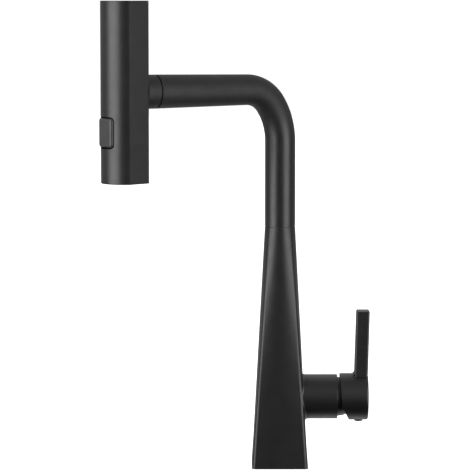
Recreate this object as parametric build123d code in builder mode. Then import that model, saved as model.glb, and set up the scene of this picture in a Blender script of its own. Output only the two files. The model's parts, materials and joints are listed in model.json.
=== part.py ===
"""Kitchen mixer tap with a pull-out spray head.

A tapered square-to-round body stands on the deck. A tube rises from it, bends over into a
horizontal arm and swivels on the body. A tall spray head docks on the arm's end and pulls
out along the arm. A single lever works a 35 mm ceramic cartridge in a boss on the body's side.

Millimetres. Origin: centre of the base on the deck. +Z is up, +X points to the lever side,
-Y is the front. The rest pose has the spout turned 60 degrees off the front.
"""

import math
import os

from build123d import *

# ---------------------------------------------------------------- driving dimensions
HEX_SIDES = 6
GAP = 0.05                    # running clearance of a shaft in its hole
SEAT = 0.02                   # clearance of two fixed parts that fit in each other
MARGIN = 1.0                  # how far a cut reaches past the surface it opens

# body
BASE_SIDE = 53.2
BASE_CORNER_R = 3.4
TOP_CORNER_ANGLE = 10.0
BODY_TOP_Z = 227.9
BODY_WALL = 3.5
BODY_FLOOR_T = 9.5
BODY_BORE_R = 12.0
BODY_BORE_Z = 176.0

# spout
TUBE_R = 14.35
TUBE_BORE_R = 12.5
SEAM_Z = 228.7
ARM_Z = 358.0
ARM_AZIMUTH = 210.0
COLUMN_BEND_R = 63.0
COLUMN_BEND_ANGLE = 34.3
ARM_BEND_R = 31.3
ARM_END = 133.4
ARM_END_R = 15.6
SEAM_CHAMFER = 0.5

# spray head, measured along the arm from the column's axis
DOCK_S = 134.3
HEAD_S = 163.7
HEAD_HEIGHT = 165.6
HEAD_FRONT_R = 23.0
HEAD_CREASE = 7.6
HEAD_BACK = 16.0
HEAD_BACK_HALF = 15.0
HEAD_WALL = 2.2
HEAD_CAP_T = 2.6
HEAD_BACK_CORNER_R = 1.2
HEAD_RIM_R = 0.8

# mode button on the head's front
BUTTON_Z = 321.7
BUTTON_WIDTH = 24.3
BUTTON_HEIGHT = 27.0
BUTTON_CORNER_R = 3.0
BUTTON_FACE = 22.2
BUTTON_BACK = 15.8
BUTTON_GAP = 1.0
OPENING_CORNER_R = 4.0

# valve: everything is round about an axis along +X
VALVE_Z = 65.4
SLEEVE_R = 21.2
SLEEVE_END = 54.6
SLEEVE_EDGE_R = 0.5
SLEEVE_ROOT = 19.9
SLEEVE_COVE_R = 2.0
VALVE_BORE_R = 18.0
PIVOT_X = 55.0
DOME_R = 18.5
BLOCK_BACK = 9.5
BLOCK_FACE = 23.5
PORT_X = 14.4
PORT_SPACING = 10.0
PORT_R = 3.5
PORT_DEPTH = 10.0
DISC_OFFSET = 2.7

# lever
CAP_R = 22.2
CAP_START = 56.9
CAP_END = 83.9
CAP_CAVITY_R = 19.0
BLADE_TIP_Z = 147.9
BLADE_HALF_WIDTH = 9.4
STEM_SIDE = 8.0
STEM_END = 80.0
STEM_ARM = 14.0
SCREW_X = 75.0

# supply, hose and fixing
HOSE_R = 6.4
SHANK_R = 16.0
SHANK_BORE_R = 13.5
SHANK_LENGTH = 62.0
DECK_T = 30.0

# ---------------------------------------------------------------- worked-out places
arm_dir = Vector(math.cos(math.radians(ARM_AZIMUTH)), math.sin(math.radians(ARM_AZIMUTH)), 0)
side_dir = Vector(0, 0, 1).cross(arm_dir)
bend_angle = math.radians(COLUMN_BEND_ANGLE)
bend_reach = COLUMN_BEND_R * (1 - math.cos(bend_angle)) + ARM_BEND_R * math.cos(bend_angle)
bend_rise = COLUMN_BEND_R * math.sin(bend_angle) + ARM_BEND_R * (1 - math.sin(bend_angle))
bend_start_z = ARM_Z - bend_rise
head_bottom = ARM_Z - HEAD_HEIGHT / 2
head_top = ARM_Z + HEAD_HEIGHT / 2
crease_half = math.sqrt(HEAD_FRONT_R**2 - HEAD_CREASE**2)
back_s = HEAD_S - HEAD_BACK

# Three frames for turned pieces. In each, local x runs along the axis and local y is the radius.
COLUMN = (Plane((0, 0, 0), x_dir=(0, 0, 1), z_dir=(0, 1, 0)), Axis.Z)
VALVE = (Plane((0, 0, VALVE_Z), x_dir=(1, 0, 0), z_dir=(0, -1, 0)), Axis((0, 0, VALVE_Z), (1, 0, 0)))
PIVOT_PLANE = Plane((PIVOT_X, 0, VALVE_Z), x_dir=(1, 0, 0), z_dir=(0, 1, 0))
ARM = (
    Plane((0, 0, ARM_Z), x_dir=arm_dir, z_dir=arm_dir.cross(Vector(0, 0, 1))),
    Axis((0, 0, ARM_Z), arm_dir),
)


# ---------------------------------------------------------------- helpers
def turned(frame, outline, mode=Mode.ADD):
    """Turn an outline of (along, radius) points about a frame's axis."""
    plane, axis = frame
    with BuildSketch(plane) as profile:
        with BuildLine():
            Polyline(*outline, close=True)
        make_face()
    revolve(profile.sketch, axis=axis, mode=mode)


def ring(frame, start, end, outer, inner=0.0, mode=Mode.ADD):
    """A plain ring or disc between two stations on a frame's axis."""
    turned(frame, [(start, inner), (end, inner), (end, outer), (start, outer)], mode)


def o_ring(frame, station, middle_r, section_r):
    """A round-section ring about a frame's axis."""
    plane, axis = frame
    with BuildSketch(plane) as profile:
        with Locations((station, middle_r)):
            Circle(section_r)
    revolve(profile.sketch, axis=axis)


def head_plane(z, forward=0.0):
    """Plan plane of the spray head at a height: local x is forward, local y is sideways."""
    centre = arm_dir * (HEAD_S + forward)
    return Plane((centre.X, centre.Y, z), x_dir=arm_dir, z_dir=(0, 0, 1))


def front_plane(forward, z=ARM_Z):
    """Upright plane across the head, facing forward: local x is sideways, local y is up."""
    centre = arm_dir * (HEAD_S + forward)
    return Plane((centre.X, centre.Y, z), x_dir=side_dir, z_dir=arm_dir)


def valve_plane(x, z=VALVE_Z):
    """Upright plane across the valve, facing +X: local x is +Y, local y is up."""
    return Plane((x, 0, z), x_dir=(0, 1, 0), z_dir=(1, 0, 0))


def head_outline(z, inset=0.0):
    """Plan outline of the head: a round front, two flats that close in, and a flat back."""
    with BuildSketch(head_plane(z)) as outline:
        with BuildLine():
            ThreePointArc((HEAD_CREASE, -crease_half), (HEAD_FRONT_R, 0), (HEAD_CREASE, crease_half))
            Polyline(
                (HEAD_CREASE, crease_half),
                (-HEAD_BACK, HEAD_BACK_HALF),
                (-HEAD_BACK, -HEAD_BACK_HALF),
                (HEAD_CREASE, -crease_half),
            )
        make_face()
        if inset:
            offset(amount=-inset, kind=Kind.INTERSECTION, mode=Mode.REPLACE)
    return outline.sketch


def head_half(front):
    """One half of the head's hollow casing. The halves part at the crease."""
    with BuildSketch(head_plane(head_bottom)) as outline:
        with BuildLine():
            Line((HEAD_CREASE, crease_half), (HEAD_CREASE, -crease_half))
            if front:
                ThreePointArc(
                    (HEAD_CREASE, -crease_half), (HEAD_FRONT_R, 0), (HEAD_CREASE, crease_half)
                )
            else:
                Polyline(
                    (HEAD_CREASE, -crease_half),
                    (-HEAD_BACK, -HEAD_BACK_HALF),
                    (-HEAD_BACK, HEAD_BACK_HALF),
                    (HEAD_CREASE, crease_half),
                )
        make_face()
    half = extrude(outline.sketch, amount=HEAD_HEIGHT - HEAD_CAP_T)
    if not front:
        half = fillet(half.edges().filter_by(Axis.Z).sort_by(ARM[1])[:2], radius=HEAD_BACK_CORNER_R)
    rim = half.faces().sort_by(Axis.Z)[0].edges().sort_by(ARM[1])
    fillet(rim[1:] if front else rim[:-1], radius=HEAD_RIM_R)
    extrude(
        head_outline(head_bottom, inset=HEAD_WALL),
        amount=HEAD_HEIGHT - HEAD_CAP_T,
        mode=Mode.SUBTRACT,
    )


# ---------------------------------------------------------------- body
GASKET_IN_R = 18.0
GASKET_OUT_R = 21.5
GASKET_T = 2.0
LIMIT_SCREW_Z = 209.5
LIMIT_SCREW_R = 2.5
LIMIT_SCREW_LENGTH = 2.4
LIMIT_TIP_R = 1.9
LIMIT_TIP_REACH = 9.9
LIMIT_TIP_LENGTH = 2.5
LIMIT_KEY_R = 1.3
LIMIT_KEY_DEPTH = 1.8
WEB_T = 1.6
WEB_HALF_HEIGHT = 14.0
WEB_HALF_WIDTH = 20.5


def rear_plane(reach):
    """Upright plane behind the body, facing +Y, at the height of the swivel's limit screw."""
    return Plane((0, reach, LIMIT_SCREW_Z), x_dir=(1, 0, 0), z_dir=(0, 1, 0))


def quarter_turns(points):
    """The same points in all four quarters, a quarter turn apart."""
    return [[Vector(*point).rotate(Axis.Z, turn) for point in points] for turn in (0, 90, 180, 270)]


def body_foot(inset):
    """Square outline on the deck: each quarter is a straight side and a rounded corner."""
    half = BASE_SIDE / 2 - inset
    corner = BASE_CORNER_R - inset / 2
    diagonal = corner * (1 - math.sqrt(0.5))
    quarter = [
        (half, corner - half),
        (half, half - corner),
        (half - diagonal, half - diagonal),
        (half - corner, half),
    ]
    with BuildSketch(Plane.XY) as outline:
        with BuildLine():
            for side_start, side_end, corner_middle, corner_end in quarter_turns(quarter):
                Line(side_start, side_end)
                ThreePointArc(side_end, corner_middle, corner_end)
        make_face()
    return outline.sketch


def body_crown(inset):
    """Round outline at the top, in the same eight pieces as the square below it."""
    with BuildSketch(Plane.XY.offset(BODY_TOP_Z)) as outline:
        with BuildLine():
            for turn in (0, 90, 180, 270):
                CenterArc((0, 0), TUBE_R - inset, turn - 45 + TOP_CORNER_ANGLE / 2, 90 - TOP_CORNER_ANGLE)
                CenterArc((0, 0), TUBE_R - inset, turn + 45 - TOP_CORNER_ANGLE / 2, TOP_CORNER_ANGLE)
        make_face()
    return outline.sketch


with BuildPart() as body_cavity:
    loft([body_foot(BODY_WALL), body_crown(BODY_WALL)], ruled=True)
    with BuildSketch(Plane.XY.offset(BODY_FLOOR_T)):
        Rectangle(BASE_SIDE, BASE_SIDE)
    extrude(amount=BODY_BORE_Z - BODY_FLOOR_T, mode=Mode.INTERSECT)

with BuildPart() as body_shell:
    loft([body_foot(0), body_crown(0)], ruled=True)
    ring(VALVE, SLEEVE_ROOT, SLEEVE_END, SLEEVE_R)
    sleeve_edges = body_shell.faces().filter_by(GeomType.CYLINDER).sort_by(Axis.X)[-1].edges()
    fillet(sleeve_edges.sort_by(Axis.X)[:-2], radius=SLEEVE_COVE_R)
    fillet(body_shell.edges().sort_by(Axis.X)[-1], radius=SLEEVE_EDGE_R)
    add(body_cavity.part, mode=Mode.SUBTRACT)
    ring(COLUMN, BODY_BORE_Z, BODY_TOP_Z, BODY_BORE_R, mode=Mode.SUBTRACT)
    ring(VALVE, SLEEVE_ROOT, SLEEVE_ROOT + BODY_WALL, SLEEVE_R)
    with BuildSketch(valve_plane(BLOCK_BACK - WEB_T)):
        Rectangle(2 * WEB_HALF_WIDTH, 2 * WEB_HALF_HEIGHT)
    extrude(amount=WEB_T)
    ring(VALVE, BLOCK_BACK, SLEEVE_END, VALVE_BORE_R, mode=Mode.SUBTRACT)
    ring(COLUMN, 0, BODY_FLOOR_T, SHANK_R + SEAT, mode=Mode.SUBTRACT)
    ring(COLUMN, 0, GASKET_T, GASKET_OUT_R, GASKET_IN_R, mode=Mode.SUBTRACT)
    with BuildSketch(rear_plane(BODY_BORE_R / 2)):
        Circle(LIMIT_SCREW_R + SEAT)
    extrude(amount=TUBE_R, mode=Mode.SUBTRACT)

with BuildPart() as base_gasket:
    ring(COLUMN, 0, GASKET_T - SEAT, GASKET_OUT_R - SEAT, GASKET_IN_R + SEAT)

# Grub screw at the rear: its tip runs in the spout insert's slot and stops the swivel.
with BuildPart() as swivel_limit_screw:
    with BuildSketch(rear_plane(LIMIT_TIP_REACH)):
        Circle(LIMIT_TIP_R)
    extrude(amount=LIMIT_TIP_LENGTH)
    with BuildSketch(rear_plane(LIMIT_TIP_REACH + LIMIT_TIP_LENGTH)):
        Circle(LIMIT_SCREW_R)
    extrude(amount=LIMIT_SCREW_LENGTH)
    with BuildSketch(rear_plane(LIMIT_TIP_REACH + LIMIT_TIP_LENGTH + LIMIT_SCREW_LENGTH)):
        RegularPolygon(LIMIT_KEY_R, HEX_SIDES)
    extrude(amount=-LIMIT_KEY_DEPTH, mode=Mode.SUBTRACT)

# ---------------------------------------------------------------- fixing under the deck
RUBBER_T = 3.0
STEEL_T = 1.5
NUT_T = 9.0
WASHER_R = 26.0
WASHER_HOLE_R = SHANK_R + 0.3
NUT_R = 23.5
NUT_FLANGE_R = 25.0
NUT_FLANGE_T = 1.5
SHANK_CHAMFER = 0.8

with BuildPart() as mounting_shank:
    ring(COLUMN, -SHANK_LENGTH, BODY_FLOOR_T, SHANK_R, SHANK_BORE_R)
    chamfer(mounting_shank.edges().group_by(Axis.Z)[0], length=SHANK_CHAMFER)

with BuildPart() as deck_washer_rubber:
    ring(COLUMN, -DECK_T - RUBBER_T, -DECK_T, WASHER_R, WASHER_HOLE_R)

with BuildPart() as deck_washer_steel:
    ring(COLUMN, -DECK_T - RUBBER_T - STEEL_T, -DECK_T - RUBBER_T, WASHER_R, WASHER_HOLE_R)

nut_top = -DECK_T - RUBBER_T - STEEL_T
with BuildPart() as mounting_nut:
    with BuildSketch(Plane.XY.offset(nut_top)):
        RegularPolygon(NUT_R, HEX_SIDES)
        Circle(SHANK_R + SEAT, mode=Mode.SUBTRACT)
    extrude(amount=-NUT_T)
    ring(COLUMN, nut_top - NUT_FLANGE_T, nut_top, NUT_FLANGE_R, SHANK_R + SEAT)

# ---------------------------------------------------------------- swivel and spout
WASHER_IN_R = 10.6
WASHER_OUT_R = 13.5
INSERT_R = 10.5
INSERT_BORE_R = 7.4
INSERT_BOTTOM = 181.0
INSERT_TOP = 250.0
GROOVE_R = 9.3
RETAINER_Z = 184.2
RETAINER_T = 1.6
RETAINER_OUT_R = 11.6
RETAINER_MOUTH = 9.0
SEAL_SECTION_R = 1.3
SEAL_STATIONS = (199.5, 204.5)
LOWER_BUSH = (186.0, 194.5)
UPPER_BUSH = (214.0, 226.0)
SLOT_START = -58.0
SLOT_SWEEP = 176.0
SLOT_HALF = LIMIT_TIP_R + 0.15
SLOT_DEPTH = INSERT_R - LIMIT_TIP_REACH + 0.3

with BuildPart() as swivel_bush_lower:
    ring(COLUMN, *LOWER_BUSH, BODY_BORE_R - SEAT, INSERT_R + GAP)

with BuildPart() as swivel_bush_upper:
    ring(COLUMN, *UPPER_BUSH, BODY_BORE_R - SEAT, INSERT_R + GAP)

with BuildPart() as swivel_thrust_washer:
    ring(COLUMN, BODY_TOP_Z + SEAT, SEAM_Z - GAP, WASHER_OUT_R, WASHER_IN_R)

with BuildPart() as spout_insert:
    ring(COLUMN, INSERT_BOTTOM, SEAM_Z, INSERT_R, INSERT_BORE_R)
    ring(COLUMN, SEAM_Z, INSERT_TOP, TUBE_BORE_R - SEAT, INSERT_BORE_R)
    ring(COLUMN, RETAINER_Z, RETAINER_Z + RETAINER_T, INSERT_R, GROOVE_R, mode=Mode.SUBTRACT)
    for station in SEAL_STATIONS:
        ring(
            COLUMN,
            station - SEAL_SECTION_R - GAP,
            station + SEAL_SECTION_R + GAP,
            INSERT_R,
            GROOVE_R,
            mode=Mode.SUBTRACT,
        )
    slot_turn = math.radians(SLOT_START)
    slot_plane = Plane(
        (0, 0, 0),
        x_dir=(math.cos(slot_turn), math.sin(slot_turn), 0),
        z_dir=(math.sin(slot_turn), -math.cos(slot_turn), 0),
    )
    with BuildSketch(slot_plane) as slot_profile:
        with Locations((INSERT_R, LIMIT_SCREW_Z)):
            Rectangle(2 * SLOT_DEPTH, 2 * SLOT_HALF)
    revolve(slot_profile.sketch, axis=Axis.Z, revolution_arc=SLOT_SWEEP, mode=Mode.SUBTRACT)

with BuildPart() as spout_retaining_ring:
    ring(COLUMN, RETAINER_Z + GAP, RETAINER_Z + RETAINER_T - GAP, RETAINER_OUT_R, GROOVE_R + GAP)
    with BuildSketch(Plane.XY.offset(RETAINER_Z)):
        with Locations((0, -BODY_BORE_R)):
            Rectangle(RETAINER_MOUTH, BODY_BORE_R)
    extrude(amount=RETAINER_T, mode=Mode.SUBTRACT)

with BuildPart() as spout_o_rings:
    for station in SEAL_STATIONS:
        o_ring(COLUMN, station, BODY_BORE_R - SEAL_SECTION_R - GAP, SEAL_SECTION_R)


def column_path(start_z, arm_end):
    """Centre line up the column, round the two-radius bend and along the arm, as a wire."""
    bend_plane = Plane((0, 0, 0), x_dir=arm_dir, z_dir=arm_dir.cross(Vector(0, 0, 1)))
    mid_x = COLUMN_BEND_R * (1 - math.cos(bend_angle))
    mid_z = bend_start_z + COLUMN_BEND_R * math.sin(bend_angle)
    with BuildLine(bend_plane) as path:
        Line((0, start_z), (0, bend_start_z))
        CenterArc((COLUMN_BEND_R, bend_start_z), COLUMN_BEND_R, 180, -COLUMN_BEND_ANGLE)
        CenterArc(
            (mid_x + ARM_BEND_R * math.cos(bend_angle), mid_z - ARM_BEND_R * math.sin(bend_angle)),
            ARM_BEND_R,
            180 - COLUMN_BEND_ANGLE,
            COLUMN_BEND_ANGLE - 90,
        )
        if arm_end > bend_reach:
            Line((bend_reach, ARM_Z), (arm_end, ARM_Z))
    return path.wires()[0]


with BuildPart() as spout_tube:
    with BuildSketch(Plane.XY.offset(SEAM_Z)) as tube_section:
        Circle(TUBE_R)
    sweep(tube_section.sketch, path=column_path(SEAM_Z, bend_reach))
    turned(
        ARM,
        [
            (bend_reach, 0),
            (ARM_END, 0),
            (ARM_END, ARM_END_R - SEAM_CHAMFER),
            (ARM_END - SEAM_CHAMFER, ARM_END_R),
            (bend_reach, TUBE_R),
        ],
    )
    with BuildSketch(Plane.XY.offset(SEAM_Z)) as bore_section:
        Circle(TUBE_BORE_R)
    sweep(bore_section.sketch, path=column_path(SEAM_Z, ARM_END), mode=Mode.SUBTRACT)

# ---------------------------------------------------------------- dock and hose
BUSH_START = 110.0
SPIGOT_GAP = 0.08
FLANGE_R = 14.2
SPIGOT_START = 112.0
SPIGOT_R = 9.0
SPIGOT_BORE_R = 7.6
MAGNET_IN_R = 10.0
MAGNET_OUT_R = 11.8
MAGNET_START = 129.0
STEEL_RING_T = 2.2
HOSE_JOIN = 40.0
HOSE_END = 141.0
CONNECTOR_R = 7.3
CONNECTOR_SHOULDER = 149.9
CONNECTOR_END = 154.5
CONNECTOR_TAIL_R = 5.6
CONNECTOR_BORE_R = 3.5
dock_face = DOCK_S - 0.2

with BuildPart() as dock_bush:
    ring(ARM, BUSH_START, ARM_END, TUBE_BORE_R - SEAT, SPIGOT_R + SPIGOT_GAP)
    ring(ARM, ARM_END, dock_face, FLANGE_R, SPIGOT_R + SPIGOT_GAP)
    ring(ARM, MAGNET_START, dock_face, MAGNET_OUT_R + SEAT, MAGNET_IN_R - SEAT, mode=Mode.SUBTRACT)

with BuildPart() as dock_magnet_ring:
    ring(ARM, MAGNET_START + SEAT, dock_face - SEAT, MAGNET_OUT_R, MAGNET_IN_R)

with BuildPart() as hose_riser:
    with BuildSketch(Plane.XY.offset(-SHANK_LENGTH)) as riser_section:
        Circle(HOSE_R)
    sweep(riser_section.sketch, path=column_path(-SHANK_LENGTH, HOSE_JOIN - GAP))

with BuildPart() as spray_hose:
    ring(ARM, HOSE_JOIN + GAP, HOSE_END, HOSE_R)

with BuildPart() as hose_connector:
    ring(ARM, HOSE_END + SEAT, CONNECTOR_SHOULDER, CONNECTOR_R, CONNECTOR_BORE_R)
    ring(ARM, CONNECTOR_SHOULDER, CONNECTOR_END, CONNECTOR_TAIL_R, CONNECTOR_BORE_R)

# ---------------------------------------------------------------- spray head casing
SCREW_SPACING = 16.6
HEAD_SCREW_R = 1.5
HEAD_SCREW_HOLE_R = 1.6
HEAD_SCREW_HEAD_R = 2.6
HEAD_SCREW_HEAD_T = 1.7
HEAD_SCREW_LENGTH = 10.5
SCREW_HOLE_DEPTH = 8.0
CAP_LIP_T = 1.5
CAP_LIP_DEPTH = 3.0
CAP_LIP_GAP = 0.1
NECK_BORE_EXIT_R = 7.9

with BuildPart() as head_neck:
    ring(ARM, SPIGOT_START, DOCK_S, SPIGOT_R, SPIGOT_BORE_R)
    turned(
        ARM,
        [
            (DOCK_S, SPIGOT_BORE_R),
            (back_s, SPIGOT_BORE_R),
            (back_s, ARM_END_R),
            (DOCK_S + SEAM_CHAMFER, ARM_END_R),
            (DOCK_S, ARM_END_R - SEAM_CHAMFER),
        ],
    )
    ring(ARM, DOCK_S, DOCK_S + STEEL_RING_T, MAGNET_OUT_R, MAGNET_IN_R, mode=Mode.SUBTRACT)
    with BuildSketch(front_plane(-HEAD_BACK)):
        with GridLocations(SCREW_SPACING, SCREW_SPACING, 2, 2):
            Circle(HEAD_SCREW_R)
    extrude(amount=-SCREW_HOLE_DEPTH, mode=Mode.SUBTRACT)

with BuildPart() as neck_steel_ring:
    ring(ARM, DOCK_S + SEAT, DOCK_S + STEEL_RING_T - SEAT, MAGNET_OUT_R - SEAT, MAGNET_IN_R + SEAT)

opening_width = BUTTON_WIDTH + 2 * BUTTON_GAP
opening_height = BUTTON_HEIGHT + 2 * BUTTON_GAP

with BuildPart() as head_front_shell:
    head_half(front=True)
    with BuildSketch(front_plane(HEAD_CREASE, BUTTON_Z)):
        RectangleRounded(opening_width, opening_height, OPENING_CORNER_R)
    extrude(amount=HEAD_FRONT_R, mode=Mode.SUBTRACT)

with BuildPart() as head_rear_shell:
    head_half(front=False)
    ring(ARM, back_s - HEAD_WALL, back_s + 2 * HEAD_WALL, NECK_BORE_EXIT_R, mode=Mode.SUBTRACT)
    with BuildSketch(front_plane(-HEAD_BACK)):
        with GridLocations(SCREW_SPACING, SCREW_SPACING, 2, 2):
            Circle(HEAD_SCREW_HOLE_R)
    extrude(amount=2 * HEAD_WALL, mode=Mode.SUBTRACT)

cap_underside = head_top - HEAD_CAP_T + SEAT
with BuildPart() as head_top_cap:
    extrude(head_outline(cap_underside), amount=HEAD_CAP_T - SEAT)
    fillet(head_top_cap.edges().filter_by(Axis.Z).sort_by(ARM[1])[:2], radius=HEAD_BACK_CORNER_R)
    fillet(head_top_cap.faces().sort_by(Axis.Z)[-1].edges(), radius=HEAD_RIM_R)
    extrude(head_outline(cap_underside, inset=HEAD_WALL + CAP_LIP_GAP), amount=-CAP_LIP_DEPTH)
    extrude(
        head_outline(cap_underside, inset=HEAD_WALL + CAP_LIP_GAP + CAP_LIP_T),
        amount=-CAP_LIP_DEPTH,
        mode=Mode.SUBTRACT,
    )

# ---------------------------------------------------------------- button and diverter
BEZEL_BACK = 11.4
BEZEL_FLOOR = 12.6
BEZEL_RIM = 14.6
BEZEL_HALF_WIDTH = 14.3
BEZEL_HALF_HEIGHT = 15.6
BEZEL_LIP = 0.5
BUTTON_EDGE_R = 2.6
ROD_R = 2.2
SPOOL_R = 5.0
SPOOL_BACK = -1.5
SPOOL_FRONT = 9.5
SPOOL_GROOVES = (0.5, 5.0)
SPOOL_GROOVE_WIDTH = 2.0
SPOOL_GROOVE_R = 3.6
SPRING_R = 3.6
SPRING_WIRE_R = 0.45
SPRING_BACK = -6.4
SPRING_TURNS = 3
HOUSING_BACK = -9.5
HOUSING_FRONT = 10.5
HOUSING_HALF = 8.5
HOUSING_BOTTOM = 312.0
HOUSING_TOP = 331.9
HOUSING_CORNER_R = 2.0
HOUSING_BORE_BACK = -6.9
OUTLET_SPACING = 9.0
OUTLET_R = 2.6
DUCT_FORWARD = -3.0
DUCT_R = 6.0
DUCT_BORE_R = 3.5
BUTTON_LINE = Axis((0, 0, BUTTON_Z), arm_dir)
DIVERTER = (
    Plane((0, 0, BUTTON_Z), x_dir=arm_dir, z_dir=arm_dir.cross(Vector(0, 0, 1))),
    BUTTON_LINE,
)

with BuildPart() as mode_button:
    with BuildSketch(front_plane(BUTTON_BACK, BUTTON_Z)):
        RectangleRounded(BUTTON_WIDTH, BUTTON_HEIGHT, BUTTON_CORNER_R)
    extrude(amount=BUTTON_FACE - BUTTON_BACK)
    fillet(mode_button.faces().sort_by(BUTTON_LINE)[-1].edges(), radius=BUTTON_EDGE_R)
    ring(DIVERTER, HEAD_S + SPOOL_FRONT, HEAD_S + BUTTON_BACK, ROD_R)

with BuildPart() as button_bezel:
    with BuildSketch(front_plane(BEZEL_BACK, BUTTON_Z)):
        RectangleRounded(2 * BEZEL_HALF_WIDTH, 2 * BEZEL_HALF_HEIGHT, OPENING_CORNER_R)
    extrude(amount=BEZEL_RIM - BEZEL_BACK)
    with BuildSketch(front_plane(BEZEL_FLOOR, BUTTON_Z)):
        RectangleRounded(
            opening_width - 2 * BEZEL_LIP, opening_height - 2 * BEZEL_LIP, BUTTON_CORNER_R
        )
    extrude(amount=BEZEL_RIM, mode=Mode.SUBTRACT)
    with BuildSketch(front_plane(BEZEL_BACK, BUTTON_Z)):
        Circle(ROD_R + GAP)
    extrude(amount=BEZEL_RIM, mode=Mode.SUBTRACT)

with BuildPart() as diverter_spool:
    ring(DIVERTER, HEAD_S + SPOOL_BACK, HEAD_S + SPOOL_FRONT, SPOOL_R)
    for groove in SPOOL_GROOVES:
        ring(
            DIVERTER,
            HEAD_S + groove,
            HEAD_S + groove + SPOOL_GROOVE_WIDTH,
            SPOOL_R,
            SPOOL_GROOVE_R,
            mode=Mode.SUBTRACT,
        )

with BuildPart() as diverter_housing:
    with BuildSketch(head_plane(HOUSING_BOTTOM, (HOUSING_BACK + HOUSING_FRONT) / 2)):
        RectangleRounded(HOUSING_FRONT - HOUSING_BACK, 2 * HOUSING_HALF, HOUSING_CORNER_R)
    extrude(amount=HOUSING_TOP - HOUSING_BOTTOM)
    ring(
        DIVERTER,
        HEAD_S + HOUSING_BORE_BACK,
        HEAD_S + HOUSING_FRONT,
        SPOOL_R + GAP,
        mode=Mode.SUBTRACT,
    )
    with BuildSketch(head_plane(HOUSING_TOP, DUCT_FORWARD)):
        Circle(DUCT_BORE_R)
    extrude(amount=BUTTON_Z - HOUSING_TOP, mode=Mode.SUBTRACT)
    with BuildSketch(head_plane(HOUSING_BOTTOM)):
        with GridLocations(OUTLET_SPACING, 0, 2, 1):
            Circle(OUTLET_R)
    extrude(amount=BUTTON_Z - HOUSING_BOTTOM, mode=Mode.SUBTRACT)

spring_length = SPOOL_BACK - SPRING_BACK - 2 * SPRING_WIRE_R - GAP
spring_start = arm_dir * (HEAD_S + SPRING_BACK + SPRING_WIRE_R) + Vector(0, 0, BUTTON_Z)
with BuildPart() as button_spring:
    with BuildLine() as coil:
        Helix(
            pitch=spring_length / SPRING_TURNS,
            height=spring_length,
            radius=SPRING_R,
            center=spring_start,
            direction=arm_dir,
        )
    with BuildSketch(Plane(coil.line @ 0, z_dir=coil.line % 0)) as wire_section:
        Circle(SPRING_WIRE_R)
    sweep(wire_section.sketch, path=coil.line, is_frenet=True)

# ---------------------------------------------------------------- waterways in the head
INLET_R = 8.5
INLET_BORE_R = 6.0
FLANGE_BACK = 150.0
FLANGE_T = 1.5
FLANGE_SIDE = 24.0
FLANGE_CORNER_R = 3.0
INLET_REACH = 4.0
INLET_END_T = 2.0
CHECK_VALVE = (155.2, 162.5)
CHECK_POPPET = (157.5, 158.7)
CHECK_BORE_R = 2.6
CHECK_POPPET_R = 4.2
CHAMBER_INSET = 3.6
CHAMBER_WALL = 1.8
CHAMBER_TOP = 311.9
CHAMBER_PLATE = 288.0
CHAMBER_BOTTOM = 283.6
PLATE_BOTTOM = 277.2
PLATE_TOP = 280.2
PLATE_INSET = HEAD_WALL + 0.05
MAT_INSET = HEAD_WALL + 0.3
AERATOR_R = 9.0
AERATOR_HOLE_R = 9.1
AERATOR_CENTRE = 2.0
AERATOR_START = 276.8
AERATOR_TOP = 283.2
AERATOR_LIP_R = 7.4
AERATOR_RECESS_TOP = 277.8
AERATOR_CELL = 1.5
AERATOR_PITCH = 2.3
AERATOR_ROWS = 5
NOZZLE_CENTRE = 2.6
NOZZLE_RING_R = 14.2
NOZZLE_COUNT = 18
NOZZLE_R = 1.3
NOZZLE_HOLE_R = 1.35
NOZZLE_BORE_R = 0.5
NOZZLE_TIP_Z = 276.2
MAT_TOP = 281.8

with BuildPart() as head_waterway:
    ring(ARM, FLANGE_BACK, HEAD_S + INLET_REACH, INLET_R)
    with BuildSketch(front_plane(FLANGE_BACK - HEAD_S)):
        RectangleRounded(FLANGE_SIDE, FLANGE_SIDE, FLANGE_CORNER_R)
    extrude(amount=FLANGE_T)
    with BuildSketch(head_plane(ARM_Z, DUCT_FORWARD)):
        Circle(DUCT_R)
    extrude(amount=HOUSING_TOP + SEAT - ARM_Z)
    ring(ARM, FLANGE_BACK, HEAD_S + INLET_REACH - INLET_END_T, INLET_BORE_R, mode=Mode.SUBTRACT)
    with BuildSketch(head_plane(ARM_Z, DUCT_FORWARD)):
        Circle(DUCT_BORE_R)
    extrude(amount=HOUSING_TOP - ARM_Z, mode=Mode.SUBTRACT)
    with BuildSketch(front_plane(FLANGE_BACK - HEAD_S)):
        with GridLocations(SCREW_SPACING, SCREW_SPACING, 2, 2):
            Circle(HEAD_SCREW_HOLE_R)
    extrude(amount=FLANGE_T, mode=Mode.SUBTRACT)

with BuildPart() as head_screws:
    with BuildSketch(front_plane(FLANGE_BACK + FLANGE_T - HEAD_S)):
        with GridLocations(SCREW_SPACING, SCREW_SPACING, 2, 2):
            Circle(HEAD_SCREW_R - SEAT)
    extrude(amount=-HEAD_SCREW_LENGTH)
    with BuildSketch(front_plane(FLANGE_BACK + FLANGE_T - HEAD_S)):
        with GridLocations(SCREW_SPACING, SCREW_SPACING, 2, 2):
            Circle(HEAD_SCREW_HEAD_R)
    extrude(amount=HEAD_SCREW_HEAD_T)

with BuildPart() as check_valve:
    ring(ARM, *CHECK_VALVE, INLET_BORE_R - SEAT, CHECK_BORE_R)
    ring(ARM, *CHECK_POPPET, CHECK_POPPET_R)

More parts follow.
